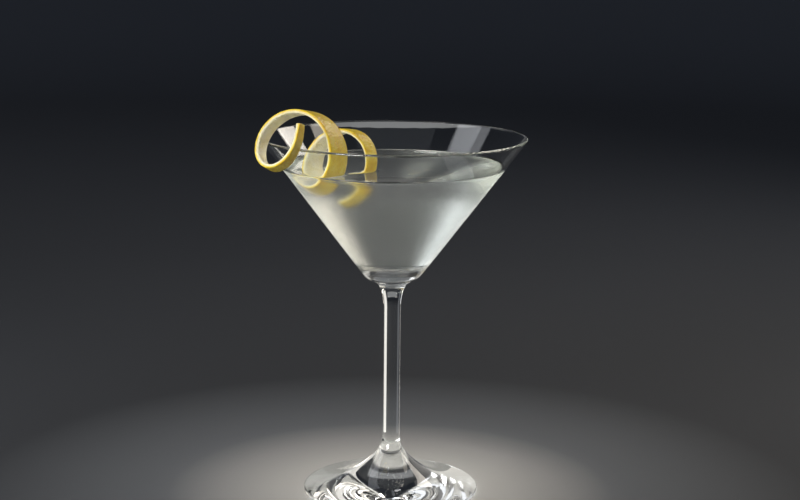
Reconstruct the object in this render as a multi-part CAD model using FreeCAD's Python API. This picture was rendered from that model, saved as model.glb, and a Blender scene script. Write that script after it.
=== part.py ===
import FreeCAD, Part
import math
import os

from FreeCAD import Vector

# A martini in its stemmed cocktail glass, with a spiral of lemon peel hooked over the rim.
# Millimetres. +Z is up, the foot rests on z = 0 and the stem runs up the Z axis.
# The peel hangs over the rim on the -X side, a little towards -Y.

# ---- Driving dimensions -------------------------------------------------------------

# Overall glass
GLASS_HEIGHT = 150.0
RIM_RADIUS = 54.5
FOOT_RADIUS = 36.5
STEM_RADIUS = 3.6

# Bowl
BOWL_HALF_ANGLE = 36.87         # cone angle from the vertical, degrees
WALL = 1.1                      # wall of the bowl, measured square to it
CONE_FOOT_RADIUS = 12.6         # outer radius where the cone starts to round in
CONE_FOOT_ROUND_DEPTH = 3.0     # height of that rounding
KNUCKLE_RADIUS = 7.9            # small step where the bowl sits on its stem
KNUCKLE_THICKNESS = 0.6
WELL_RADIUS = 16.0              # inner radius where the wall rounds into the well
WELL_DEPTH = 2.2                # depth of the rounded well below that
STEM_TOP_FLARE = 10.5           # height over which the stem narrows below the knuckle

# Foot
FOOT_EDGE_THICKNESS = 1.9
FOOT_EDGE_ROUND = 0.5
FOOT_SLOPE = 12.0               # slope of the foot's top at its edge, degrees
SHOULDER_RADIUS = 10.0          # where the stem's flare turns into the foot's slope
SHOULDER_HEIGHT = 12.4
STEM_FOOT_FLARE = 27.0          # height where the flare leaves the straight stem

# How full the glass's curves are: each share is of the space that its curve crosses.
FOOT_TOP_RISE = 0.30            # height of the foot's top halfway out
NECK_OUT, NECK_RISE = 0.18, 0.42            # flare over the foot
THROAT_OUT, THROAT_DROP = 0.28, 0.35        # flare under the knuckle, lower point
MOUTH_OUT, MOUTH_DROP = 0.62, 0.08          # flare under the knuckle, upper point
CHEEK_OUT, CHEEK_RISE = 0.50, 0.24          # bowl's rounding over the knuckle
UNDER_KNUCKLE_SLOPE = 8.0       # degrees above level where the flare meets the knuckle
OVER_KNUCKLE_SLOPE = 6.0        # degrees above level where the bowl leaves the knuckle

# Drink
HEADSPACE = 12.5                # from the top of the rim down to the drink's surface

# Lemon peel: one strip, coiled. Its coil has a station for each of these turns, counted
# from the top of the loop that hooks the rim.
HOOK_ANGLE = 202.0              # where on the rim the loop hooks, degrees from +X
PEEL_START_TURN = -0.715
PEEL_END_TURN = 1.40
PEEL_THICKNESS = 1.8
PEEL_BEVEL = 0.4                # the pith face is narrower by this at each edge
PEEL_SECTIONS_PER_TURN = 26
TURN_STEP = 1e-4                # step in turns for reading the strip's direction
STATION_TURNS = (-0.72, -0.25, 0.25, 0.75, 1.45)
COIL_RIGHT = (4.6, 11.1, 17.8, 28.3, 28.6)          # coil's centre, +X from the hook
COIL_BACK = (-17.7, -12.5, -2.2, 9.3, 18.8)        # coil's centre, +Y from the hook
COIL_UP = (12.3, 0.7, -1.9, -6.5, -10.2)           # coil's centre, above the rim
COIL_RADIUS = (11.8, 13.2, 13.5, 12.6, 11.8)
COIL_YAW = (69.5, 65.2, 53.5, 45.2, 44.9)           # coil's axis from +X to +Y, degrees
COIL_TILT = (-37.6, -15.9, -8.4, -7.3, -9.3)        # coil's axis above level, degrees
PEEL_WIDTH = (5.7, 7.9, 10.8, 9.2, 6.3)

# ---- Sizes that follow ----------------------------------------------------------------

HALF_ANGLE = math.radians(BOWL_HALF_ANGLE)
CONE_GROWTH = math.tan(HALF_ANGLE)                  # radius gained per unit of height
RIM_ROUND = WALL / 2
CONE_TOP_Z = GLASS_HEIGHT - RIM_ROUND * (1 + math.sin(HALF_ANGLE))
CONE_TOP_RADIUS = RIM_RADIUS - RIM_ROUND * (1 - math.cos(HALF_ANGLE))
CONE_FOOT_Z = CONE_TOP_Z - (CONE_TOP_RADIUS - CONE_FOOT_RADIUS) / CONE_GROWTH
KNUCKLE_TOP_Z = CONE_FOOT_Z - CONE_FOOT_ROUND_DEPTH
KNUCKLE_FOOT_Z = KNUCKLE_TOP_Z - KNUCKLE_THICKNESS
INNER_TOP_Z = CONE_TOP_Z + WALL * math.sin(HALF_ANGLE)
INNER_TOP_RADIUS = CONE_TOP_RADIUS - WALL * math.cos(HALF_ANGLE)
DRINK_LEVEL = GLASS_HEIGHT - HEADSPACE


def inner_radius(z):
    """Radius of the inside of the bowl's cone at height z."""
    return INNER_TOP_RADIUS - (INNER_TOP_Z - z) * CONE_GROWTH


def inner_height(radius):
    """Height at which the inside of the cone has this radius."""
    return INNER_TOP_Z - (INNER_TOP_RADIUS - radius) / CONE_GROWTH


def at(radius, z):
    """A point of a profile that is turned about the Z axis."""
    return Vector(radius, 0, z)


def line(start, end):
    return Part.LineSegment(start, end).toShape()


def curve(points, start_direction, end_direction):
    """A smooth curve through the points, with a given direction at each end."""
    spline = Part.BSplineCurve()
    spline.interpolate(Points=points, InitialTangent=start_direction, FinalTangent=end_direction)
    return spline.toShape()


def direction(angle_from_x):
    """A unit direction in the XZ plane, for an angle in degrees from +X towards +Z."""
    angle = math.radians(angle_from_x)
    return Vector(math.cos(angle), 0, math.sin(angle))


def well_edges(top_edge):
    """The inside of the bowl from the axis out to the cone, and up the cone to top_edge."""
    well_z = inner_height(WELL_RADIUS)
    bottom = at(0, well_z - WELL_DEPTH)
    corner = at(WELL_RADIUS, well_z)
    up_the_cone = Vector(math.sin(HALF_ANGLE), 0, math.cos(HALF_ANGLE))
    rounding = curve([bottom, corner], Vector(1, 0, 0), up_the_cone)
    return [rounding, line(corner, top_edge)]


def foot_edges():
    """The foot's flat underside, its rounded edge, and its top up to the straight stem."""
    rise = math.radians(FOOT_SLOPE)
    under = at(FOOT_RADIUS - FOOT_EDGE_ROUND, 0)
    side_low = at(FOOT_RADIUS, FOOT_EDGE_ROUND)
    side_high = at(FOOT_RADIUS, FOOT_EDGE_THICKNESS - FOOT_EDGE_ROUND)
    top = at(FOOT_RADIUS - FOOT_EDGE_ROUND, FOOT_EDGE_THICKNESS)
    diagonal = FOOT_EDGE_ROUND * (1 - math.sqrt(0.5))
    low_mid = at(FOOT_RADIUS - diagonal, diagonal)
    high_mid = at(FOOT_RADIUS - diagonal, FOOT_EDGE_THICKNESS - diagonal)
    shoulder = at(SHOULDER_RADIUS, SHOULDER_HEIGHT)
    halfway = at(
        (SHOULDER_RADIUS + FOOT_RADIUS) / 2,
        FOOT_EDGE_THICKNESS + (SHOULDER_HEIGHT - FOOT_EDGE_THICKNESS) * FOOT_TOP_RISE,
    )
    neck = at(
        STEM_RADIUS + (SHOULDER_RADIUS - STEM_RADIUS) * NECK_OUT,
        SHOULDER_HEIGHT + (STEM_FOOT_FLARE - SHOULDER_HEIGHT) * NECK_RISE,
    )
    stem = at(STEM_RADIUS, STEM_FOOT_FLARE)
    return [
        line(at(0, 0), under),
        Part.Arc(under, low_mid, side_low).toShape(),
        line(side_low, side_high),
        Part.Arc(side_high, high_mid, top).toShape(),
        curve(
            [top, halfway, shoulder, neck, stem],
            Vector(-math.cos(rise), 0, math.sin(rise)),
            Vector(0, 0, 1),
        ),
    ]


def stem_and_knuckle_edges():
    """The straight stem, its flare under the bowl, and the knuckle that the bowl sits on."""
    edge_round = KNUCKLE_THICKNESS / 2
    flare_foot = at(STEM_RADIUS, KNUCKLE_FOOT_Z - STEM_TOP_FLARE)
    under_knuckle = at(KNUCKLE_RADIUS - edge_round, KNUCKLE_FOOT_Z)
    over_knuckle = at(KNUCKLE_RADIUS - edge_round, KNUCKLE_TOP_Z)
    throat = at(
        STEM_RADIUS + (KNUCKLE_RADIUS - STEM_RADIUS) * THROAT_OUT,
        KNUCKLE_FOOT_Z - STEM_TOP_FLARE * THROAT_DROP,
    )
    mouth = at(
        STEM_RADIUS + (KNUCKLE_RADIUS - STEM_RADIUS) * MOUTH_OUT,
        KNUCKLE_FOOT_Z - STEM_TOP_FLARE * MOUTH_DROP,
    )
    cone_foot = at(CONE_FOOT_RADIUS, CONE_FOOT_Z)
    cheek = at(
        KNUCKLE_RADIUS + (CONE_FOOT_RADIUS - KNUCKLE_RADIUS) * CHEEK_OUT,
        KNUCKLE_TOP_Z + CONE_FOOT_ROUND_DEPTH * CHEEK_RISE,
    )
    up_the_cone = Vector(math.sin(HALF_ANGLE), 0, math.cos(HALF_ANGLE))
    return [
        line(at(STEM_RADIUS, STEM_FOOT_FLARE), flare_foot),
        curve(
            [flare_foot, throat, mouth, under_knuckle],
            Vector(0, 0, 1),
            direction(UNDER_KNUCKLE_SLOPE),
        ),
        Part.Arc(
            under_knuckle,
            at(KNUCKLE_RADIUS, (KNUCKLE_FOOT_Z + KNUCKLE_TOP_Z) / 2),
            over_knuckle,
        ).toShape(),
        curve([over_knuckle, cheek, cone_foot], direction(OVER_KNUCKLE_SLOPE), up_the_cone),
    ]


def glass():
    """Foot, stem and bowl: one piece of glass, turned about the Z axis."""
    outer_top = at(CONE_TOP_RADIUS, CONE_TOP_Z)
    inner_top = at(INNER_TOP_RADIUS, INNER_TOP_Z)
    middle = (outer_top + inner_top) * 0.5
    crest = middle + Vector(math.sin(HALF_ANGLE), 0, math.cos(HALF_ANGLE)) * RIM_ROUND
    inside = well_edges(inner_top)
    well_bottom = at(0, inner_height(WELL_RADIUS) - WELL_DEPTH)
    edges = foot_edges() + stem_and_knuckle_edges()
    edges += [
        line(at(CONE_FOOT_RADIUS, CONE_FOOT_Z), outer_top),
        Part.Arc(outer_top, crest, inner_top).toShape(),
    ]
    edges += inside + [line(well_bottom, at(0, 0))]
    return turned(edges)


def turned(edges):
    """The solid that a closed profile sweeps out round the Z axis."""
    wire = Part.Wire(Part.__sortEdges__(edges))
    return Part.Face(wire).revolve(Vector(0, 0, 0), Vector(0, 0, 1), 360)


def drink(peel):
    """The drink fills the bowl up to its level, cut round the peel."""
    surface_edge = at(inner_radius(DRINK_LEVEL), DRINK_LEVEL)
    well_bottom = at(0, inner_height(WELL_RADIUS) - WELL_DEPTH)
    edges = well_edges(surface_edge)
    edges += [line(surface_edge, at(0, DRINK_LEVEL)), line(at(0, DRINK_LEVEL), well_bottom)]
    cut = turned(edges).cut(peel)
    return max(cut.Solids, key=lambda solid: solid.Volume)


def between_stations(turn, values):
    """The one smooth polynomial through the stations' values, read at this turn."""
    total = 0.0
    for here, value in zip(STATION_TURNS, values):
        weight = 1.0
        for other in STATION_TURNS:
            if other != here:
                weight *= (turn - other) / (here - other)
        total += weight * value
    return total


def coil_axis(turn):
    """The coil's local axis: the strip's width lies along it."""
    yaw = math.radians(between_stations(turn, COIL_YAW))
    tilt = math.radians(between_stations(turn, COIL_TILT))
    level = Vector(math.cos(yaw), math.sin(yaw), 0)
    return level * math.cos(tilt) + Vector(0, 0, math.sin(tilt))


def coil_centre(turn):
    """The middle of the coil, placed from the point of the rim that it hooks."""
    hook = math.radians(HOOK_ANGLE)
    return Vector(
        RIM_RADIUS * math.cos(hook) + between_stations(turn, COIL_RIGHT),
        RIM_RADIUS * math.sin(hook) + between_stations(turn, COIL_BACK),
        GLASS_HEIGHT + between_stations(turn, COIL_UP),
    )


def coil_point(turn):
    """The middle of the strip at this turn."""
    yaw = math.radians(between_stations(turn, COIL_YAW))
    outward = Vector(math.sin(yaw), -math.cos(yaw), 0)
    upward = outward.cross(coil_axis(turn))
    angle = 2 * math.pi * turn
    spoke = upward * math.cos(angle) + outward * math.sin(angle)
    return coil_centre(turn) + spoke * between_stations(turn, COIL_RADIUS)


def peel_section(turn):
    """The strip's cross-section: zest face outside, a slightly narrower pith face inside."""
    middle = coil_point(turn)
    along = coil_point(turn + TURN_STEP) - coil_point(turn - TURN_STEP)
    along.normalize()
    axis = coil_axis(turn)
    across = axis - along * axis.dot(along)
    across.normalize()
    out = along.cross(across)
    if out.dot(middle - coil_centre(turn)) < 0:
        out = out * -1
    half_width = between_stations(turn, PEEL_WIDTH) / 2
    half_thickness = PEEL_THICKNESS / 2
    corners = [
        middle - across * half_width + out * half_thickness,
        middle + across * half_width + out * half_thickness,
        middle + across * (half_width - PEEL_BEVEL) - out * half_thickness,
        middle - across * (half_width - PEEL_BEVEL) - out * half_thickness,
    ]
    return Part.makePolygon(corners + corners[:1])


def lemon_peel():
    """The strip of peel, lofted along its coil."""
    turns = PEEL_END_TURN - PEEL_START_TURN
    count = round(turns * PEEL_SECTIONS_PER_TURN)
    sections = [peel_section(PEEL_START_TURN + turns * i / count) for i in range(count + 1)]
    return Part.makeLoft(sections, True, False)


def main():
    os.makedirs("parts", exist_ok=True)
    peel = lemon_peel()
    nodes = {"glass": glass(), "drink": drink(peel), "lemon_peel": peel}
    for name, shape in nodes.items():
        shape.exportStep(os.path.join("parts", name + ".step"))
        print(name, shape.ShapeType, "valid", shape.isValid(), "volume", round(shape.Volume, 1))


main()
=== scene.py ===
import logging
import math
from dataclasses import dataclass, field
from enum import Enum
from typing import Dict, List, Optional, Sequence, Tuple

import bpy
from mathutils import Matrix, Vector, noise


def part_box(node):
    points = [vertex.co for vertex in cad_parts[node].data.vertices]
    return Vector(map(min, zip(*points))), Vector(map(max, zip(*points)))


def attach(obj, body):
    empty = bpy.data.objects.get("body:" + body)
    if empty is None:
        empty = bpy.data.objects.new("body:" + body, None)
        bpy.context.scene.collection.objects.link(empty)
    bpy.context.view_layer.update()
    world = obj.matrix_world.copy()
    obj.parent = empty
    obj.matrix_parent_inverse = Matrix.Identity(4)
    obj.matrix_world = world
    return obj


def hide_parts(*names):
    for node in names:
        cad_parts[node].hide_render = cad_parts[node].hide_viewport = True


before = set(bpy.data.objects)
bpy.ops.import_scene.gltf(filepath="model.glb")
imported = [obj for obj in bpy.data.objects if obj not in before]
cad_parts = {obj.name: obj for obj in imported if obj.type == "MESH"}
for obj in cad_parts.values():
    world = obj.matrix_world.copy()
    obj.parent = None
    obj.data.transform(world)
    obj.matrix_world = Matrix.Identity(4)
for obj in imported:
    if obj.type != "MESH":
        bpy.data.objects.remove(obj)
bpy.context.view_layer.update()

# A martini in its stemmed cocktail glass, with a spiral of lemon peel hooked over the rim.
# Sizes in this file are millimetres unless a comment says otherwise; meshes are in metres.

MM = 0.001
BODY = "root"
LOG = logging.getLogger("martini")

Point2 = Tuple[float, float]
Stops = Sequence[Tuple[float, object]]


class Slot(Enum):
    """The record's material slots."""

    GLASS = "glass"
    DRINK = "drink"
    PEEL = "peel"


# ---- Colour and node helpers ----------------------------------------------------------

# Sockets of Blender's colour-mixing node, whose names are shared by several of them.
MIX_SHARE = 0
MIX_FIRST = 6
MIX_SECOND = 7
MIX_COLOUR = 2


def linear(hex_colour: str) -> Tuple[float, float, float, float]:
    """Turns an sRGB hex colour into linear light.

    Args:
        hex_colour: six hex digits, with or without a leading #.

    Returns:
        Linear red, green, blue and an alpha of one.
    """
    digits = hex_colour.lstrip("#")
    parts = [int(digits[i : i + 2], 16) / 255 for i in (0, 2, 4)]
    light = [p / 12.92 if p <= 0.04045 else ((p + 0.055) / 1.055) ** 2.4 for p in parts]
    return light[0], light[1], light[2], 1.0


def add(
    tree: bpy.types.NodeTree,
    kind: str,
    links: Optional[Dict] = None,
    stops: Stops = (),
    **settings: object,
) -> bpy.types.Node:
    """Adds one node, with its settings, its socket values and its incoming links.

    Args:
        tree: the material's or world's node tree.
        kind: Blender's name for the node type.
        links: for each input, by name or number, an output socket or a plain value.
        stops: a colour ramp's stops, each a position and either a grey value or a hex colour.
        **settings: the node's own properties.

    Returns:
        The new node.
    """
    node = tree.nodes.new(kind)
    for name, value in settings.items():
        setattr(node, name, value)
    for name, value in (links or {}).items():
        if isinstance(value, bpy.types.NodeSocket):
            tree.links.new(value, node.inputs[name])
        else:
            node.inputs[name].default_value = value
    elements = node.color_ramp.elements if stops else ()
    while len(elements) < len(stops):
        elements.new(0.5)
    for element, (position, value) in zip(elements, stops):
        element.position = position
        element.color = linear(value) if isinstance(value, str) else (value, value, value, 1.0)
    return node


def new_material(name: str) -> Tuple[bpy.types.Material, bpy.types.NodeTree, bpy.types.Node]:
    """An empty node material.

    Args:
        name: the material's name.

    Returns:
        The material, its node tree and its output node.
    """
    material = bpy.data.materials.new(name)
    material.use_nodes = True
    tree = material.node_tree
    tree.nodes.clear()
    return material, tree, add(tree, "ShaderNodeOutputMaterial")


def let_lamps_through(
    tree: bpy.types.NodeTree, shader: bpy.types.NodeSocket, tint: str
) -> bpy.types.NodeSocket:
    """Clear things cast a pale shadow: to a lamp's ray the surface is only a tint.

    Args:
        tree: the node tree.
        shader: what every other ray sees.
        tint: what each surface leaves of a lamp's light.

    Returns:
        The mixed shader.
    """
    path = add(tree, "ShaderNodeLightPath")
    passing = add(tree, "ShaderNodeBsdfTransparent", {"Color": linear(tint)})
    mixed = add(
        tree,
        "ShaderNodeMixShader",
        {0: path.outputs["Is Shadow Ray"], 1: shader, 2: passing.outputs[0]},
    )
    return mixed.outputs[0]


# ---- Finishes -------------------------------------------------------------------------


@dataclass(frozen=True)
class CrystalGlassFinish:
    """Lead-free crystal, drawn and fire-polished: water-clear, with crisp reflections.

    Where the bowl is chilled by the drink, its outside is misted over, and what shows through
    it is blurred.
    """

    tint: str = "#fbfdfd"
    ior: float = 1.52
    shadow_tint: str = "#f0f2f2"
    mist_roughness: float = 0.26
    skin: float = 0.35              # how deep from the cone's outside the mist is felt
    mist_rise: float = 0.004        # share of the mist's height over which it starts
    mist_thins: float = 0.2         # share of its height below which it thins out
    mist_gone: float = 0.04         # share of its height below which there is none

    def material(self, bowl: "Bowl", low: float, high: float) -> bpy.types.Material:
        """Builds the material.

        Args:
            bowl: the bowl's cone, whose outside is misted.
            low: height where the mist has faded out, in millimetres.
            high: height where the mist starts, at the drink's level.

        Returns:
            The material.
        """
        material, tree, output = new_material("crystal_glass")
        place = add(tree, "ShaderNodeTexCoord").outputs["Object"]
        parts = add(tree, "ShaderNodeSeparateXYZ", {0: place})
        flat = add(tree, "ShaderNodeCombineXYZ", {0: parts.outputs[0], 1: parts.outputs[1]})
        radius = add(
            tree, "ShaderNodeVectorMath", {0: flat.outputs[0]}, operation="LENGTH"
        ).outputs["Value"]
        wall = add(
            tree,
            "ShaderNodeMath",
            {0: parts.outputs["Z"], 1: math.tan(bowl.half_angle), 2: bowl.outer_radius(0) * MM},
            operation="MULTIPLY_ADD",
        ).outputs[0]
        depth = add(tree, "ShaderNodeMath", {0: wall, 1: radius}, operation="SUBTRACT").outputs[0]
        outside = add(
            tree,
            "ShaderNodeMapRange",
            {"Value": depth, "From Min": self.skin * MM, "From Max": 0.5 * self.skin * MM},
        ).outputs[0]
        level = add(
            tree,
            "ShaderNodeMapRange",
            {"Value": parts.outputs["Z"], "From Min": low * MM, "From Max": high * MM},
        ).outputs[0]
        band = add(
            tree,
            "ShaderNodeValToRGB",
            {"Fac": level},
            [(self.mist_gone, 0.0), (self.mist_thins, 1.0), (1.0 - self.mist_rise, 1.0), (1.0, 0.0)],
        ).outputs["Color"]
        misted = add(tree, "ShaderNodeMath", {0: outside, 1: band}, operation="MULTIPLY").outputs[0]
        roughness = add(
            tree, "ShaderNodeMath", {0: misted, 1: self.mist_roughness}, operation="MULTIPLY"
        ).outputs[0]
        glass = add(
            tree,
            "ShaderNodeBsdfPrincipled",
            {
                "Base Color": linear(self.tint),
                "Roughness": roughness,
                "IOR": self.ior,
                "Transmission Weight": 1.0,
            },
        )
        surface = let_lamps_through(tree, glass.outputs[0], self.shadow_tint)
        tree.links.new(surface, output.inputs["Surface"])
        return material


@dataclass(frozen=True)
class SpiritFinish:
    """Gin and dry vermouth, stirred over ice: clear, with a trace of straw and green."""

    tint: str = "#f8f8f4"
    ior: float = 1.345
    shadow_tint: str = "#f4f5ef"

    def material(self) -> bpy.types.Material:
        """Builds the material.

        Returns:
            The material.
        """
        material, tree, output = new_material("gin_and_vermouth")
        liquid = add(
            tree,
            "ShaderNodeBsdfPrincipled",
            {
                "Base Color": linear(self.tint),
                "Roughness": 0.0,
                "IOR": self.ior,
                "Transmission Weight": 1.0,
            },
        )
        surface = let_lamps_through(tree, liquid.outputs[0], self.shadow_tint)
        tree.links.new(surface, output.inputs["Surface"])
        return material


@dataclass(frozen=True)
class ChillMistFinish:
    """Condensation on the chilled bowl: droplets too fine to see one by one.

    They scatter a little light where the eye looks straight through them, and a lot where it
    looks along the wall, so the bowl's sides turn white and its middle stays clear.
    """

    colour: str = "#f7f9fa"
    face_on: float = 0.005          # share of the light scattered, as are the next two
    half_turned: float = 0.0075
    edge_on: float = 0.3
    patch_size: float = 9.0         # width of the thinner and thicker patches
    patch_depth: float = 0.25
    down_the_bowl: Stops = ((0.0, 0.0), (0.16, 0.75), (0.55, 0.9), (0.97, 1.0), (1.0, 0.85))

    def material(self, low: float, high: float) -> bpy.types.Material:
        """Builds the material.

        Args:
            low: height where the mist has faded out, above the clear base.
            high: height of the drink's surface, where the mist starts.

        Returns:
            The material.
        """
        material, tree, output = new_material("condensation")
        place = add(tree, "ShaderNodeTexCoord").outputs["Object"]
        height = add(tree, "ShaderNodeSeparateXYZ", {0: place}).outputs["Z"]
        level = add(
            tree,
            "ShaderNodeMapRange",
            {"Value": height, "From Min": low * MM, "From Max": high * MM},
        ).outputs[0]
        fade = add(
            tree, "ShaderNodeValToRGB", {"Fac": level}, self.down_the_bowl
        ).outputs["Color"]
        grain = add(
            tree,
            "ShaderNodeTexNoise",
            {"Vector": place, "Scale": 1.0 / (self.patch_size * MM), "Detail": 4.0},
        ).outputs[0]
        patches = add(
            tree,
            "ShaderNodeMapRange",
            {"Value": grain, "From Min": 0.3, "From Max": 0.7, "To Min": 1 - self.patch_depth},
        ).outputs[0]
        facing = add(tree, "ShaderNodeLayerWeight", {"Blend": 0.5}).outputs["Facing"]
        thickness = add(
            tree,
            "ShaderNodeValToRGB",
            {"Fac": facing},
            [(0.0, self.face_on), (0.5, self.half_turned), (1.0, self.edge_on)],
        ).outputs["Color"]
        amount = add(tree, "ShaderNodeMath", {0: fade, 1: patches}, operation="MULTIPLY").outputs[0]
        amount = add(tree, "ShaderNodeMath", {0: amount, 1: thickness}, operation="MULTIPLY").outputs[0]
        lit = add(tree, "ShaderNodeBsdfDiffuse", {"Color": linear(self.colour)})
        glow = add(tree, "ShaderNodeBsdfTranslucent", {"Color": linear(self.colour)})
        drops = add(tree, "ShaderNodeMixShader", {0: 0.5, 1: lit.outputs[0], 2: glow.outputs[0]})
        clear = add(tree, "ShaderNodeBsdfTransparent")
        mixed = add(
            tree,
            "ShaderNodeMixShader",
            {0: amount, 1: clear.outputs[0], 2: drops.outputs[0]},
        )
        tree.links.new(mixed.outputs[0], output.inputs["Surface"])
        return material


@dataclass(frozen=True)
class LemonPeelFinish:
    """Fresh lemon peel, knife-cut: waxy pored zest over damp cream pith.

    The zest's oil gives small sharp lights between the pores; the pith is matt and lets light
    soak in, so its edges glow.
    """

    zest_deep: str = "#ecbd22"
    zest: str = "#f8d52c"
    zest_light: str = "#fde765"
    pith: str = "#fdf6da"
    pith_shade: str = "#f6e9b4"
    zest_depth: float = 0.30        # share of the strip's thickness that is zest
    zest_to_flesh: float = 0.15     # share over which the zest's yellow is half gone
    zest_to_pith: float = 0.50      # share over which it is all gone
    waxy_roughness: float = 0.34
    damp_roughness: float = 0.62
    grain_spacing: float = 0.75     # fine pebbling between the cut pores
    grain_depth: float = 0.32
    blotch_size: float = 5.0        # width of the riper and paler patches
    glow_depth: float = 0.8         # how far light soaks in

    def material(self) -> bpy.types.Material:
        """Builds the material; the mesh's layer attribute runs from zest, 0, to pith, 1.

        Returns:
            The material.
        """
        material, tree, output = new_material("lemon_peel")
        place = add(tree, "ShaderNodeTexCoord").outputs["Object"]
        layer = add(tree, "ShaderNodeAttribute", attribute_name="layer").outputs["Fac"]
        pore = add(tree, "ShaderNodeAttribute", attribute_name="pore").outputs["Fac"]
        blotch = add(
            tree,
            "ShaderNodeTexNoise",
            {"Vector": place, "Scale": 1.0 / (self.blotch_size * MM), "Detail": 5.0, "Roughness": 0.6},
        ).outputs[0]
        skin = add(
            tree,
            "ShaderNodeValToRGB",
            {"Fac": blotch},
            [(0.3, self.zest_deep), (0.5, self.zest), (0.72, self.zest_light)],
        ).outputs["Color"]
        pored = add(
            tree,
            "ShaderNodeMix",
            {MIX_SHARE: pore, MIX_FIRST: skin, MIX_SECOND: linear(self.zest_deep)},
            data_type="RGBA",
        ).outputs[MIX_COLOUR]
        flesh = add(
            tree, "ShaderNodeValToRGB", {"Fac": blotch}, [(0.3, self.pith_shade), (0.6, self.pith)]
        ).outputs["Color"]
        cut = add(
            tree,
            "ShaderNodeValToRGB",
            {"Fac": layer},
            [
                (self.zest_depth, 0.0),
                (self.zest_depth + self.zest_to_flesh, 0.45),
                (self.zest_depth + self.zest_to_pith, 1.0),
            ],
        ).outputs["Color"]
        colour = add(
            tree,
            "ShaderNodeMix",
            {MIX_SHARE: cut, MIX_FIRST: pored, MIX_SECOND: flesh},
            data_type="RGBA",
        ).outputs[MIX_COLOUR]
        grain = add(
            tree,
            "ShaderNodeTexVoronoi",
            {"Vector": place, "Scale": 1.0 / (self.grain_spacing * MM)},
        ).outputs["Distance"]
        bump = add(
            tree,
            "ShaderNodeBump",
            {"Height": grain, "Strength": 0.9, "Distance": self.grain_depth * MM},
        )
        roughness = add(
            tree,
            "ShaderNodeValToRGB",
            {"Fac": layer},
            [(self.zest_depth, self.waxy_roughness), (self.zest_depth + 0.1, self.damp_roughness)],
        ).outputs["Color"]
        peel = add(
            tree,
            "ShaderNodeBsdfPrincipled",
            {
                "Base Color": colour,
                "Roughness": roughness,
                "IOR": 1.45,
                "Subsurface Weight": 0.25,
                "Subsurface Radius": (0.9, 0.8, 0.3),
                "Subsurface Scale": self.glow_depth * MM,
                "Coat Weight": 0.25,
                "Coat Roughness": 0.18,
                "Normal": bump.outputs[0],
            },
        )
        tree.links.new(peel.outputs[0], output.inputs["Surface"])
        return material


@dataclass(frozen=True)
class StudioPaperPaintedLightFinish:
    """Seamless studio paper, matt, with painted light on it: a pale painted pool of light under the
    glass, falling off to a painted dark ring and back up to slate further off.
    """

    # Painted light: pale is a painted pool of light under the glass, middle its painted falloff, and dim
    # a painted dark ring of shade round it. The distances below place them.
    pale: str = "#aeaba6"
    middle: str = "#56585b"
    dim: str = "#222428"
    slate: str = "#434955"
    painted_pool_to: float = 0.04           # metres from the stem, as are the next three
    painted_falloff_at: float = 0.095
    painted_dark_ring_at: float = 0.18
    slate_from: float = 1.80
    reach: float = 2.0

    def material(self) -> bpy.types.Material:
        """Builds the material.

        Returns:
            The material.
        """
        material, tree, output = new_material("studio_paper_painted_light")
        place = add(tree, "ShaderNodeTexCoord").outputs["Object"]
        far = add(tree, "ShaderNodeVectorMath", {0: place}, operation="LENGTH").outputs["Value"]
        share = add(tree, "ShaderNodeMath", {0: far, 1: self.reach}, operation="DIVIDE").outputs[0]
        # Painted light by distance from the stem: a pale pool under the glass, darkening outward as
        # painted shade, then slate at the wall.
        painted_light_falloff = add(
            tree,
            "ShaderNodeValToRGB",
            {"Fac": share},
            [
                (self.painted_pool_to / self.reach, self.pale),
                (self.painted_falloff_at / self.reach, self.middle),
                (self.painted_dark_ring_at / self.reach, self.dim),
                (self.slate_from / self.reach, self.slate),
            ],
        ).outputs["Color"]
        paper = add(tree, "ShaderNodeBsdfPrincipled", {"Base Color": painted_light_falloff, "Roughness": 0.85})
        tree.links.new(paper.outputs[0], output.inputs["Surface"])
        return material


# ---- Mesh helpers ---------------------------------------------------------------------


def mesh_object(
    name: str,
    points: Sequence[Vector],
    faces: Sequence[Sequence[int]],
    material: bpy.types.Material,
) -> bpy.types.Object:
    """A smooth-shaded mesh object from points in millimetres.

    Args:
        name: the piece's name.
        points: vertex places, in millimetres.
        faces: vertex numbers of each face.
        material: its material.

    Returns:
        The object, linked to the scene.
    """
    mesh = bpy.data.meshes.new(name)
    mesh.from_pydata([tuple(p * MM) for p in points], [], faces)
    mesh.polygons.foreach_set("use_smooth", [True] * len(mesh.polygons))
    mesh.materials.append(material)
    mesh.update()
    piece = bpy.data.objects.new(name, mesh)
    bpy.context.scene.collection.objects.link(piece)
    return piece


def turned(
    profile: Sequence[Point2], segments: int, closed: bool
) -> Tuple[List[Vector], List[List[int]]]:
    """Turns a profile about the Z axis.

    Args:
        profile: radius and height of each point; a radius of zero is a pole.
        segments: how many steps go round.
        closed: whether the profile's last point joins its first.

    Returns:
        Vertex places and faces.
    """
    points: List[Vector] = []
    rings: List[List[int]] = []
    for radius, height in profile:
        if radius == 0:
            rings.append([len(points)] * segments)
            points.append(Vector((0, 0, height)))
            continue
        rings.append(list(range(len(points), len(points) + segments)))
        for i in range(segments):
            angle = 2 * math.pi * i / segments
            points.append(Vector((radius * math.cos(angle), radius * math.sin(angle), height)))
    pairs = list(zip(rings, rings[1:])) + ([(rings[-1], rings[0])] if closed else [])
    faces = []
    for low, high in pairs:
        for i in range(segments):
            j = (i + 1) % segments
            corners = [low[i], low[j], high[j], high[i]]
            face = [c for n, c in enumerate(corners) if c not in corners[:n]]
            if len(face) > 2:
                faces.append(face)
    return points, faces


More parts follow.
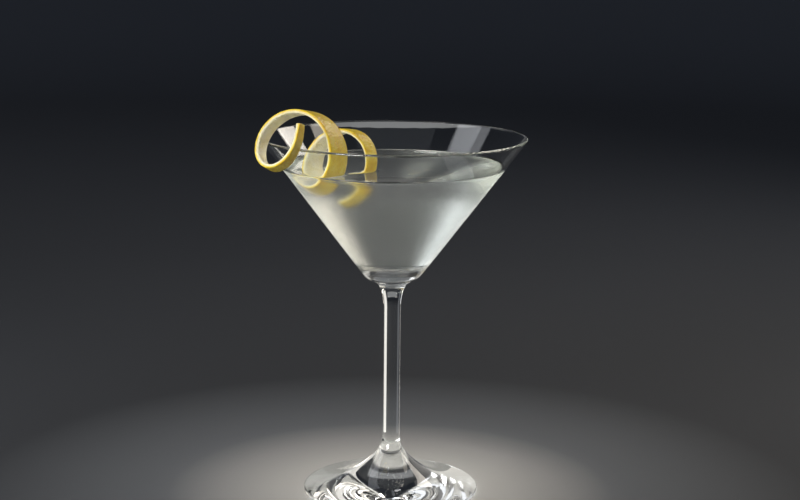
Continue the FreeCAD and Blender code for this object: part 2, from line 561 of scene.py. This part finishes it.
def hermite(start: Point2, leave: Point2, end: Point2, arrive: Point2, steps: int) -> List[Point2]:
    """A smooth curve between two points of a profile, with its direction given at each.

    Args:
        start: the first point.
        leave: direction and pull at the first point.
        end: the last point.
        arrive: direction and pull at the last point.
        steps: how many steps the curve is cut into.

    Returns:
        The curve's points, both ends included.
    """
    curve = []
    for i in range(steps + 1):
        t = i / steps
        weights = (
            2 * t**3 - 3 * t**2 + 1,
            t**3 - 2 * t**2 + t,
            -2 * t**3 + 3 * t**2,
            t**3 - t**2,
        )
        parts = (start, leave, end, arrive)
        curve.append(tuple(sum(w * p[k] for w, p in zip(weights, parts)) for k in (0, 1)))
    return curve


# ---- The glass and what is on its wall ------------------------------------------------


@dataclass
class Bowl:
    """The conical bowl of the glass, as the CAD model has it."""

    rim_radius: float
    height: float
    half_angle: float = math.radians(36.87)
    wall: float = 1.1
    well_radius: float = 16.0
    well_depth: float = 2.2

    @classmethod
    def from_frame(cls) -> "Bowl":
        """Reads the rim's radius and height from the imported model.

        Returns:
            The bowl.
        """
        low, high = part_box("glass")
        return cls(rim_radius=(high.x - low.x) / 2 / MM, height=high.z / MM)

    def outer_radius(self, z: float) -> float:
        """Radius of the outside of the cone.

        Args:
            z: height above the table.

        Returns:
            The radius.
        """
        rim_round = self.wall / 2
        top_radius = self.rim_radius - rim_round * (1 - math.cos(self.half_angle))
        top_z = self.height - rim_round * (1 + math.sin(self.half_angle))
        return top_radius - (top_z - z) * math.tan(self.half_angle)

    def inner_radius(self, z: float) -> float:
        """Radius of the inside of the cone at height z."""
        return self.outer_radius(z) - self.wall / math.cos(self.half_angle)

    def inner_height(self, radius: float) -> float:
        """Height at which the inside of the cone has this radius."""
        return (radius - self.inner_radius(0)) / math.tan(self.half_angle)


@dataclass
class CocktailGlass:
    """The glass itself, with the mist of condensation on its chilled bowl."""

    bowl: Bowl
    level: float
    finish: CrystalGlassFinish = field(default_factory=CrystalGlassFinish)
    mist_finish: ChillMistFinish = field(default_factory=ChillMistFinish)
    mist_bottom: float = 94.0
    mist_stand_off: float = 0.03
    mist_thickness: float = 0.03
    mist_steps: int = 40
    segments: int = 256

    def dress(self) -> None:
        """Gives the CAD glass its material."""
        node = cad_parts["glass"]
        node.data.materials.clear()
        node.data.materials.append(self.finish.material(self.bowl, self.mist_bottom, self.level))
        LOG.info("glass: dressed the CAD node")

    def mist(self) -> bpy.types.Object:
        """Builds the film of condensation, from the drink's level down to the clear base.

        Returns:
            The film.
        """
        drop = self.level - self.mist_bottom
        heights = [self.level - drop * i / self.mist_steps for i in range(self.mist_steps + 1)]
        inside = [(self.bowl.outer_radius(z) + self.mist_stand_off, z) for z in heights]
        outside = [(r + self.mist_thickness, z) for r, z in reversed(inside)]
        points, faces = turned(inside + outside, self.segments, closed=True)
        piece = mesh_object(
            "condensation", points, faces, self.mist_finish.material(self.mist_bottom, self.level)
        )
        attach(piece, BODY)
        LOG.info("condensation: %d faces", len(faces))
        return piece


# ---- The lemon peel --------------------------------------------------------------------


@dataclass
class PeelCoil:
    """The coil that the strip of peel follows, by stations along it, as the CAD model has it.

    The coil's centre is counted from the point of the rim that it hooks, to the right, back
    and up. Its axis is given by a yaw from right towards back and a tilt above level.
    """

    rim_radius: float
    rim_height: float
    hook_angle: float = math.radians(202.0)
    start_turn: float = -0.715
    end_turn: float = 1.40
    turns: Tuple[float, ...] = (-0.72, -0.25, 0.25, 0.75, 1.45)
    right: Tuple[float, ...] = (4.6, 11.1, 17.8, 28.3, 28.6)
    back: Tuple[float, ...] = (-17.7, -12.5, -2.2, 9.3, 18.8)
    up: Tuple[float, ...] = (12.3, 0.7, -1.9, -6.5, -10.2)
    radius: Tuple[float, ...] = (11.8, 13.2, 13.5, 12.6, 11.8)
    yaw: Tuple[float, ...] = (69.5, 65.2, 53.5, 45.2, 44.9)
    tilt: Tuple[float, ...] = (-37.6, -15.9, -8.4, -7.3, -9.3)
    width: Tuple[float, ...] = (5.7, 7.9, 10.8, 9.2, 6.3)
    turn_step: float = 1e-4         # step in turns for reading the strip's direction

    def read(self, values: Sequence[float], turn: float) -> float:
        """The smooth polynomial through the stations' values, read at a turn.

        Args:
            values: one value for each station.
            turn: where along the coil.

        Returns:
            The value there.
        """
        total = 0.0
        for here, value in zip(self.turns, values):
            weight = 1.0
            for other in self.turns:
                if other != here:
                    weight *= (turn - other) / (here - other)
            total += weight * value
        return total

    def axis(self, turn: float) -> Vector:
        """The coil's local axis, along which the strip's width lies.

        Args:
            turn: where along the coil.

        Returns:
            A unit direction.
        """
        yaw = math.radians(self.read(self.yaw, turn))
        tilt = math.radians(self.read(self.tilt, turn))
        level = Vector((math.cos(yaw), math.sin(yaw), 0))
        return level * math.cos(tilt) + Vector((0, 0, math.sin(tilt)))

    def centre(self, turn: float) -> Vector:
        """The middle of the coil.

        Args:
            turn: where along the coil.

        Returns:
            The point on the coil's centre line.
        """
        return Vector(
            (
                self.rim_radius * math.cos(self.hook_angle) + self.read(self.right, turn),
                self.rim_radius * math.sin(self.hook_angle) + self.read(self.back, turn),
                self.rim_height + self.read(self.up, turn),
            )
        )

    def point(self, turn: float) -> Vector:
        """The middle of the strip.

        Args:
            turn: where along the coil.

        Returns:
            The point in the middle of its width and thickness.
        """
        yaw = math.radians(self.read(self.yaw, turn))
        outward = Vector((math.sin(yaw), -math.cos(yaw), 0))
        upward = outward.cross(self.axis(turn))
        angle = 2 * math.pi * turn
        spoke = upward * math.cos(angle) + outward * math.sin(angle)
        return self.centre(turn) + spoke * self.read(self.radius, turn)

    def frame_at(self, turn: float) -> Tuple[Vector, Vector, Vector]:
        """The strip's middle, the direction across it, and the direction out of its zest.

        Args:
            turn: where along the coil.

        Returns:
            The middle point and the two unit directions.
        """
        middle = self.point(turn)
        ahead, behind = self.point(turn + self.turn_step), self.point(turn - self.turn_step)
        along = (ahead - behind).normalized()
        axis = self.axis(turn)
        across = (axis - along * axis.dot(along)).normalized()
        out = along.cross(across)
        if out.dot(middle - self.centre(turn)) < 0:
            out = -out
        return middle, across, out


@dataclass
class LemonPeel:
    """A knife-cut strip of lemon peel: crowned zest with pores, soft pith, uneven edges."""

    coil: PeelCoil
    finish: LemonPeelFinish = field(default_factory=LemonPeelFinish)
    thickness: float = 1.8
    bevel: float = 0.4              # the pith face is narrower by this at each edge
    edge_round: float = 0.28
    zest_edge_sharpness: int = 14
    pith_edge_sharpness: int = 10
    cut_share: float = 0.72         # share of the thickness that the knife's cut face takes
    crown: float = 0.12             # how much the zest face bulges
    edge_wander: float = 0.22       # how far the knife strayed
    wander_length: float = 7.0
    nick_share: float = 0.35        # finer straying, as a share of the wander
    nick_length: float = 1.9
    pore_spacing: float = 1.5       # twice a real lemon's, so that the pores show
    pore_radius: float = 0.42
    pore_depth: float = 0.2
    zest_depth: float = 0.3         # share of the thickness that the pores are cut in
    pith_depth: float = 0.8         # share below which the face is pith
    pith_relief: float = 0.10
    relief_along: float = 2.6
    relief_across: float = 1.7
    steps_per_turn: int = 300
    face_steps: int = 26
    edge_steps: int = 6

    def outline(self, half_width: float) -> List[Tuple[float, float]]:
        """The strip's cross-section: across it and out of its zest, from one edge round.

        Args:
            half_width: half the strip's width at this section.

        Returns:
            The section's points, anticlockwise, starting at one edge of the zest face.
        """
        half = self.thickness / 2
        narrow = half_width - self.bevel
        shares = [i / self.edge_steps for i in range(1, self.edge_steps)]
        cut = [
            (half_width - self.bevel * t, half - self.edge_round - self.thickness * self.cut_share * t)
            for t in shares
        ]
        section = []
        for i in range(self.face_steps + 1):
            s = -1 + 2 * i / self.face_steps
            rounding = self.edge_round * abs(s) ** self.zest_edge_sharpness
            section.append((s * half_width, half + self.crown * (1 - s * s) - self.crown - rounding))
        section += cut
        for i in range(self.face_steps + 1):
            s = 1 - 2 * i / self.face_steps
            rounding = self.edge_round * abs(s) ** self.pith_edge_sharpness
            section.append((s * narrow, -half + rounding))
        return section + [(-across, out) for across, out in reversed(cut)]

    def pore_at(self, along: float, across: float) -> float:
        """How deep in a pore a point of the zest lies, from 0 to 1.

        Args:
            along: distance along the strip.
            across: distance across the strip.

        Returns:
            1 at the middle of a pore, 0 between pores.
        """
        place = Vector((along / self.pore_spacing, across / self.pore_spacing, 3.7))
        distances, _ = noise.voronoi(place)
        reach = distances[0] * self.pore_spacing / self.pore_radius
        return max(0.0, 1 - reach * reach) ** 2 if reach < 1 else 0.0

    def strayed(self, travelled: float, across: float, half_width: float) -> float:
        """Where a point across the strip ends up, with the knife's straying at the edges.

        Args:
            travelled: distance along the strip.
            across: distance across the strip.
            half_width: half the strip's width here.

        Returns:
            The moved distance across.
        """
        # The last two coordinates only pick another stretch of noise for each edge.
        side = 1 if across > 0 else -1
        wander = noise.noise(Vector((travelled / self.wander_length, side * 9.1, 0)))
        nicks = noise.noise(Vector((travelled / self.nick_length, side * 5.3, 4)))
        stray = wander * self.edge_wander + nicks * self.edge_wander * self.nick_share
        return across + side * stray * abs(across / half_width) ** 3

    def relief(self, travelled: float, across: float) -> float:
        """How far the soft pith stands up or sinks at a point.

        Args:
            travelled: distance along the strip.
            across: distance across the strip.

        Returns:
            The height of the relief.
        """
        # The last coordinate only picks another layer of noise than the edges have.
        place = Vector((travelled / self.relief_along, across / self.relief_across, 8))
        return noise.noise(place) * self.pith_relief

    def build(self) -> bpy.types.Object:
        """Builds the strip as one closed mesh, with its layer and pore attributes.

        Returns:
            The strip.
        """
        turns = self.coil.end_turn - self.coil.start_turn
        count = round(turns * self.steps_per_turn)
        points: List[Vector] = []
        layers: List[float] = []
        pores: List[float] = []
        travelled = 0.0
        before = self.coil.point(self.coil.start_turn)
        for i in range(count + 1):
            turn = self.coil.start_turn + turns * i / count
            middle, across, out = self.coil.frame_at(turn)
            travelled += (middle - before).length
            before = middle
            half_width = self.coil.read(self.coil.width, turn) / 2
            section = self.outline(half_width)
            for a, b in section:
                depth = (self.thickness / 2 - b) / self.thickness
                pore = self.pore_at(travelled, a) if depth < self.zest_depth else 0.0
                relief = self.relief(travelled, a) if depth > self.pith_depth else 0.0
                lift = relief - self.pore_depth * pore
                points.append(middle + across * self.strayed(travelled, a, half_width) + out * (b + lift))
                layers.append(depth)
                pores.append(pore)
        size = len(section)
        faces = []
        for i in range(count):
            for j in range(size):
                k = (j + 1) % size
                here, there = i * size, (i + 1) * size
                faces.append([here + j, here + k, there + k, there + j])
        faces.append(list(range(size))[::-1])
        faces.append(list(range(count * size, (count + 1) * size)))
        piece = mesh_object("lemon_peel_strip", points, faces, self.finish.material())
        for name, values in (("layer", layers), ("pore", pores)):
            attribute = piece.data.attributes.new(name, "FLOAT", "POINT")
            attribute.data.foreach_set("value", values)
        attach(piece, BODY)
        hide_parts("lemon_peel")
        LOG.info("lemon_peel_strip: %d faces, %.0f mm long", len(faces), travelled)
        return piece


# ---- The drink -------------------------------------------------------------------------


@dataclass
class Drink:
    """The drink, reaching just into the wall, with its meniscus at the glass and the peel."""

    bowl: Bowl
    coil: PeelCoil
    level: float
    finish: SpiritFinish = field(default_factory=SpiritFinish)
    into_wall: float = 0.25
    meniscus: float = 1.1           # how far the surface climbs at the wall
    capillary_length: float = 1.7   # distance over which that climb dies away
    peel_meniscus: float = 0.7
    peel_half_thickness: float = 0.9
    peel_reach: float = 1.2
    segments: int = 256
    well_steps: int = 18
    wall_steps: int = 30
    rings: int = 110
    ring_crowding: float = 1.25     # above 1, rings lie closer near the middle
    crossing_steps: int = 1200
    level_slack: float = 0.001

    def profile(self) -> List[Point2]:
        """The drink's outline from the bottom of the well, up the wall and in along the top.

        Returns:
            Its points.
        """
        corner_z = self.bowl.inner_height(self.bowl.well_radius)
        bottom = (0.0, corner_z - self.bowl.well_depth - self.into_wall)
        corner = (self.bowl.well_radius + self.into_wall, corner_z)
        slope = (math.sin(self.bowl.half_angle), math.cos(self.bowl.half_angle))
        pull = self.bowl.well_radius
        along_the_cone = (slope[0] * pull, slope[1] * pull)
        outline = hermite(bottom, (pull, 0), corner, along_the_cone, self.well_steps)
        top_z = self.level + self.meniscus
        for i in range(1, self.wall_steps + 1):
            z = corner_z + (top_z - corner_z) * i / self.wall_steps
            outline.append((self.bowl.inner_radius(z) + self.into_wall, z))
        edge = self.bowl.inner_radius(top_z)
        for i in range(1, self.rings):
            s = i / self.rings
            radius = edge * (1 - s) ** self.ring_crowding
            climb = self.meniscus * math.exp(-(edge - radius) / self.capillary_length)
            outline.append((radius, self.level + climb))
        outline.append((0.0, self.level))
        return outline

    def peel_crossings(self) -> List[Tuple[Vector, Vector, float]]:
        """Where the strip passes through the drink's surface.

        Returns:
            For each crossing, the strip's middle, its direction across, and half its width.
        """
        found = []
        span = self.coil.end_turn - self.coil.start_turn
        before = self.coil.point(self.coil.start_turn)
        for i in range(1, self.crossing_steps + 1):
            turn = self.coil.start_turn + span * i / self.crossing_steps
            here = self.coil.point(turn)
            if (before.z - self.level) * (here.z - self.level) < 0 and turn > 0:
                middle, across, _ = self.coil.frame_at(turn)
                found.append((middle, across, self.coil.read(self.coil.width, turn) / 2))
            before = here
        return found

    def build(self) -> bpy.types.Object:
        """Builds the drink as one closed mesh.

        Returns:
            The drink.
        """
        points, faces = turned(self.profile(), self.segments, closed=False)
        crossings = self.peel_crossings()
        reach = self.bowl.inner_radius(self.level)
        for p in points:
            if p.z < self.level - self.level_slack or math.hypot(p.x, p.y) > reach:
                continue
            for middle, across, half_width in crossings:
                flat = Vector((across.x, across.y, 0))
                along = max(-half_width, min(half_width, (p - middle).dot(flat)))
                nearest = middle + flat * along
                apart = math.hypot(p.x - nearest.x, p.y - nearest.y) - self.peel_half_thickness
                p.z += self.peel_meniscus * math.exp(-max(apart, 0.0) / self.peel_reach)
        piece = mesh_object("martini", points, faces, self.finish.material())
        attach(piece, BODY)
        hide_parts("drink")
        LOG.info("martini: %d faces, meets the peel at %d places", len(faces), len(crossings))
        return piece


# ---- The studio ------------------------------------------------------------------------

DAYLIGHT = "#ffffff"
COOL_LIGHT = "#f6f9ff"
WARM_LIGHT = "#fff6ea"
WARMEST_LIGHT = "#fff4e6"
WARM_CARD = "#fffaf2"


@dataclass
class Softbox:
    """One soft lamp: a rectangle that faces the glass. Metres, and degrees of roll.

    A card is a small lamp that only glass and gloss pick up, as they do a white card.
    """

    name: str
    place: Tuple[float, float, float]
    target: Tuple[float, float, float]
    size: Tuple[float, float]
    watts: float
    colour: str = DAYLIGHT
    roll: float = 0.0
    is_card: bool = False

    def build(self) -> bpy.types.Object:
        """Builds the lamp.

        Returns:
            The lamp.
        """
        lamp = bpy.data.lights.new(self.name, "AREA")
        lamp.shape = "RECTANGLE"
        lamp.size, lamp.size_y = self.size
        lamp.energy = self.watts
        lamp.color = linear(self.colour)[:3]
        piece = bpy.data.objects.new(self.name, lamp)
        aim = Vector(self.target) - Vector(self.place)
        spin = Matrix.Rotation(math.radians(self.roll), 4, "Z")
        turn = aim.to_track_quat("-Z", "Y").to_matrix().to_4x4() @ spin
        piece.matrix_world = Matrix.Translation(self.place) @ turn
        piece.visible_camera = False
        piece.visible_diffuse = not self.is_card
        bpy.context.scene.collection.objects.link(piece)
        return piece


@dataclass
class Studio:
    """A floor painted with a pale pool of light under the glass, swept up to slate, soft lamps, and the
    camera. Sizes are metres and degrees.
    """

    sweep_radius: float = 2.2
    sweep_bend: float = 0.7
    sweep_height: float = 4.0
    sweep_steps: int = 12
    sweep_segments: int = 96
    floor_drop: float = 0.0002      # gap under the foot, so that the two never flicker
    camera_distance: float = 0.693
    camera_height: float = 0.241
    pitch_down: float = 11.27
    roll: float = 0.6
    yaw: float = 0.25
    lens: float = 77.175            # millimetres, like the sensor's width
    sensor: float = 36.0
    ambient: str = "#c9ced6"
    ambient_strength: float = 0.24
    bounces: int = 32               # light bounces long inside the rim before it leaves it

    def sweep(self) -> bpy.types.Object:
        """Builds the floor and the wall it sweeps up to, all round the glass.

        Returns:
            The sweep.
        """
        flat = self.sweep_radius - self.sweep_bend
        profile = [(flat * i / self.sweep_steps, 0.0) for i in range(self.sweep_steps + 1)]
        for i in range(1, self.sweep_steps + 1):
            turn = math.pi / 2 * i / self.sweep_steps
            out, rise = self.sweep_bend * math.sin(turn), self.sweep_bend * (1 - math.cos(turn))
            profile.append((flat + out, rise))
        profile.append((self.sweep_radius, self.sweep_height))
        drop = self.floor_drop / MM
        scaled = [(r / MM, z / MM - drop) for r, z in profile]
        points, faces = turned(scaled, self.sweep_segments, closed=False)
        piece = mesh_object("studio_sweep", points, faces, StudioPaperPaintedLightFinish().material())
        return piece

    def lamps(self) -> None:
        """Builds the lamps and cards.

        Broad lamps above left and right, tall panels close at both sides, a key from the
        front left, and three cards: two for the stem's edge lines and one behind for the foot.
        """
        bowl = (0.0, 0.0, 0.14)
        stem = (0.0, 0.0, 0.055)
        lamps = [
            Softbox("left_softbox", (-0.47, 0.13, 0.74), bowl, (0.98, 0.24), 0.85, COOL_LIGHT, -37),
            Softbox("right_softbox", (0.53, 0.48, 0.56), bowl, (0.60, 0.26), 2.6, WARM_LIGHT, 30),
            Softbox("left_panel", (-0.32, 0.10, 0.27), bowl, (0.20, 0.52), 0.36, COOL_LIGHT),
            Softbox("right_panel", (0.36, 0.10, 0.27), bowl, (0.08, 0.52), 0.35, WARMEST_LIGHT),
            Softbox("front_key", (-0.80, -1.05, 0.52), bowl, (0.60, 0.60), 20.0),
        ]
        cards = [
            Softbox("right_card", (0.043, 0.055, 0.055), stem, (0.032, 0.11), 0.0105, WARM_CARD),
            Softbox("back_card", (0.0, 0.50, 0.14), bowl, (0.36, 0.10), 0.022),
            Softbox("left_card", (-0.040, 0.057, 0.055), stem, (0.014, 0.11), 0.0005, COOL_LIGHT),
        ]
        for card in cards:
            card.is_card = True
        for lamp in lamps + cards:
            lamp.build()

    def world(self) -> None:
        """Sets a dim even surrounding light."""
        world = bpy.data.worlds.new("studio")
        world.use_nodes = True
        tree = world.node_tree
        tree.nodes.clear()
        background = add(
            tree,
            "ShaderNodeBackground",
            {"Color": linear(self.ambient), "Strength": self.ambient_strength},
        )
        add(tree, "ShaderNodeOutputWorld", {"Surface": background.outputs[0]})
        bpy.context.scene.world = world

    def camera(self) -> bpy.types.Object:
        """Builds the camera and makes it the scene's.

        Returns:
            The camera.
        """
        pitch, roll, yaw = (math.radians(a) for a in (self.pitch_down, self.roll, self.yaw))
        forward = Vector(
            (math.sin(yaw) * math.cos(pitch), math.cos(yaw) * math.cos(pitch), -math.sin(pitch))
        )
        right = Vector((math.cos(yaw), -math.sin(yaw), 0))
        up = right.cross(forward)
        rolled_right = right * math.cos(roll) + up * math.sin(roll)
        rolled_up = up * math.cos(roll) - right * math.sin(roll)
        turn = Matrix((rolled_right, rolled_up, -forward)).transposed()
        data = bpy.data.cameras.new("camera")
        data.lens = self.lens
        data.sensor_width = self.sensor
        data.clip_start = 0.01
        piece = bpy.data.objects.new("camera", data)
        place = Matrix.Translation((0, -self.camera_distance, self.camera_height))
        piece.matrix_world = place @ turn.to_4x4()
        bpy.context.scene.collection.objects.link(piece)
        bpy.context.scene.camera = piece
        return piece

    def build(self) -> None:
        """Builds the sweep, the lamps, the surrounding light and the camera."""
        self.sweep()
        self.lamps()
        self.world()
        self.camera()
        scene = bpy.context.scene
        scene.view_settings.view_transform = "Standard"
        scene.cycles.max_bounces = self.bounces
        scene.cycles.transmission_bounces = self.bounces
        scene.cycles.glossy_bounces = self.bounces
        LOG.info("studio: ready")


def main() -> None:
    """Builds the studio, the glass, its mist, the peel and the drink, in that order."""
    logging.basicConfig(level=logging.INFO, format="%(name)s: %(message)s")
    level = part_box("drink")[1].z / MM
    bowl = Bowl.from_frame()
    coil = PeelCoil(rim_radius=bowl.rim_radius, rim_height=bowl.height)
    Studio().build()
    glass = CocktailGlass(bowl, level)
    glass.dress()
    glass.mist()
    LemonPeel(coil).build()
    Drink(bowl, coil, level).build()


if __name__ == "__main__":
    main()
